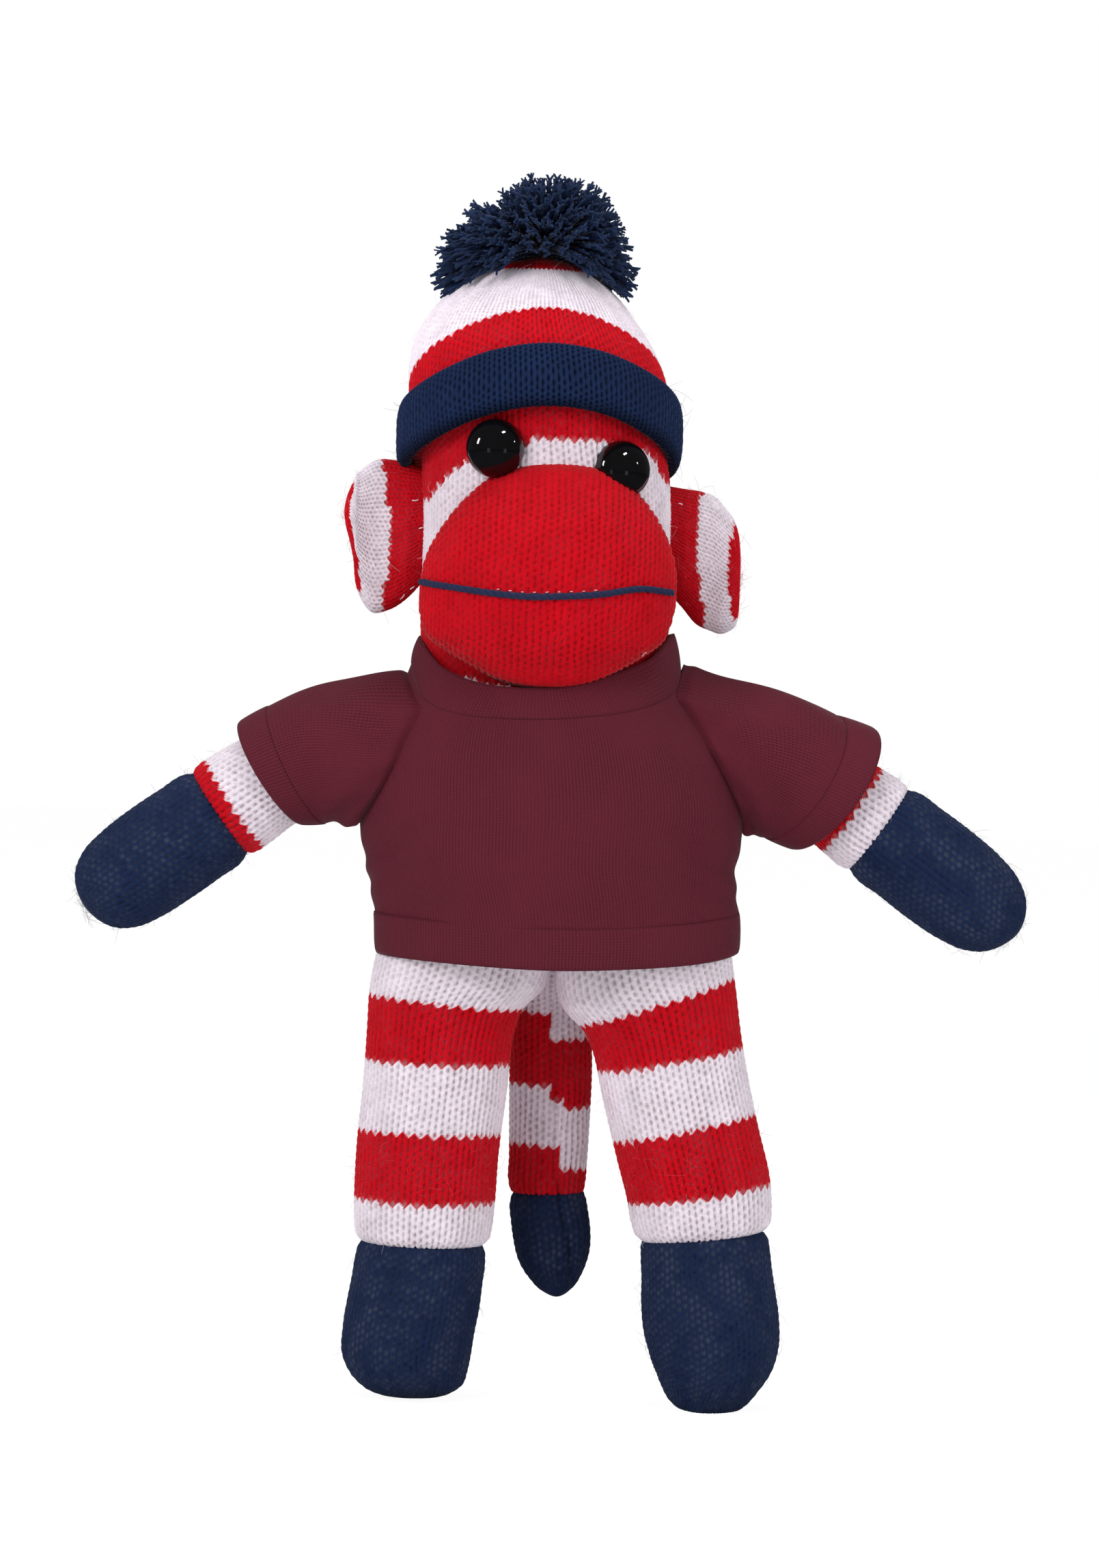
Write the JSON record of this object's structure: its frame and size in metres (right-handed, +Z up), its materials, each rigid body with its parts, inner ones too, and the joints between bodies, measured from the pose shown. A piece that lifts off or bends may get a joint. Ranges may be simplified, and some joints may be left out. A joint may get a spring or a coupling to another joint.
{
  "type": "sock monkey doll",
  "caption": "Knitted stuffed monkey in stripes, standing, with a bobble hat, round ears, black eyes, a long tail and a short-sleeved jersey shirt.",
  "frame": {"origin": "on the floor, under the middle of the monkey's bounding box", "axes": "+Z up; the monkey faces -Y, so its own left side is at +X"},
  "size_m": [0.2076, 0.0694, 0.2702],
  "materials": {
    "red_knit": "matte",
    "striped_knit": "matte",
    "navy_knit": "matte",
    "navy_yarn": "matte",
    "maroon_jersey": "matte",
    "filling_fibre": "matte",
    "eye_gloss": "gloss",
    "washer_plastic": "satin"
  },
  "bodies": {
    "torso": {"torso_skin": "striped_knit", "torso_filling": "filling_fibre", "shirt_front": "maroon_jersey", "shirt_back": "maroon_jersey", "shirt_collar": "maroon_jersey", "shirt_hem": "maroon_jersey"},
    "neck": {"neck_stem": "red_knit"},
    "head": {"head_skin": "striped_knit", "head_filling": "filling_fibre", "muzzle_skin": "red_knit", "muzzle_filling": "filling_fibre", "mouth_yarn": "navy_yarn", "hat_crown": "striped_knit", "hat_brim": "navy_knit", "pompom": "navy_yarn", "pompom_tie": "navy_yarn", "eye_right": "eye_gloss", "eye_washer_right": "washer_plastic", "eye_left": "eye_gloss", "eye_washer_left": "washer_plastic"},
    "tail": {"tail_skin": "striped_knit", "tail_tip_skin": "navy_knit", "tail_filling": "filling_fibre"},
    "ear_right": {"ear_right": "striped_knit"},
    "arm_right": {"arm_skin_right": "striped_knit", "hand_skin_right": "navy_knit", "arm_filling_right": "filling_fibre", "sleeve_right": "maroon_jersey", "cuff_right": "maroon_jersey"},
    "leg_right": {"leg_skin_right": "striped_knit", "foot_skin_right": "navy_knit", "leg_filling_right": "filling_fibre"},
    "ear_left": {"ear_left": "striped_knit"},
    "arm_left": {"arm_skin_left": "striped_knit", "hand_skin_left": "navy_knit", "arm_filling_left": "filling_fibre", "sleeve_left": "maroon_jersey", "cuff_left": "maroon_jersey"},
    "leg_left": {"leg_skin_left": "striped_knit", "foot_skin_left": "navy_knit", "leg_filling_left": "filling_fibre"}
  },
  "joints": [
    {"name": "neck_turn", "type": "hinge", "parent": "torso", "child": "neck", "pos_m": [-0.0025, 0.0048, 0.157], "axis": [0, 0, 1], "range_deg": [-18, 18]},
    {"name": "head_nod", "type": "hinge", "parent": "neck", "child": "head", "pos_m": [-0.0025, 0.0048, 0.157], "axis": [1, 0, 0], "range_deg": [-12, 1]},
    {"name": "tail_lift", "type": "hinge", "parent": "torso", "child": "tail", "pos_m": [0, 0.0238, 0.0868], "axis": [1, 0, 0], "range_deg": [-5, 85]},
    {"name": "arm_raise_right", "type": "hinge", "parent": "torso", "child": "arm_right", "pos_m": [-0.03499, 0.0033, 0.143], "axis": [0, 1, 0], "range_deg": [-20, 36]},
    {"name": "leg_swing_right", "type": "hinge", "parent": "torso", "child": "leg_right", "pos_m": [-0.02319, 0.0033, 0.0825], "axis": [-1, 0, 0], "range_deg": [-20, 85]},
    {"name": "ear_flap_right", "type": "hinge", "parent": "head", "child": "ear_right", "pos_m": [-0.03422, 0.0053, 0.18981], "axis": [-0.0724, 0, 0.9974], "range_deg": [-25, 25]},
    {"name": "arm_raise_left", "type": "hinge", "parent": "torso", "child": "arm_left", "pos_m": [0.03152, 0.0033, 0.1453], "axis": [0, -1, 0], "range_deg": [-20, 36]},
    {"name": "leg_swing_left", "type": "hinge", "parent": "torso", "child": "leg_left", "pos_m": [0.02578, 0.0033, 0.0825], "axis": [-1, 0, 0], "range_deg": [-20, 85]},
    {"name": "ear_flap_left", "type": "hinge", "parent": "head", "child": "ear_left", "pos_m": [0.02682, 0.0053, 0.18754], "axis": [-0.0434, 0, 0.9991], "range_deg": [-25, 25]}
  ]
}
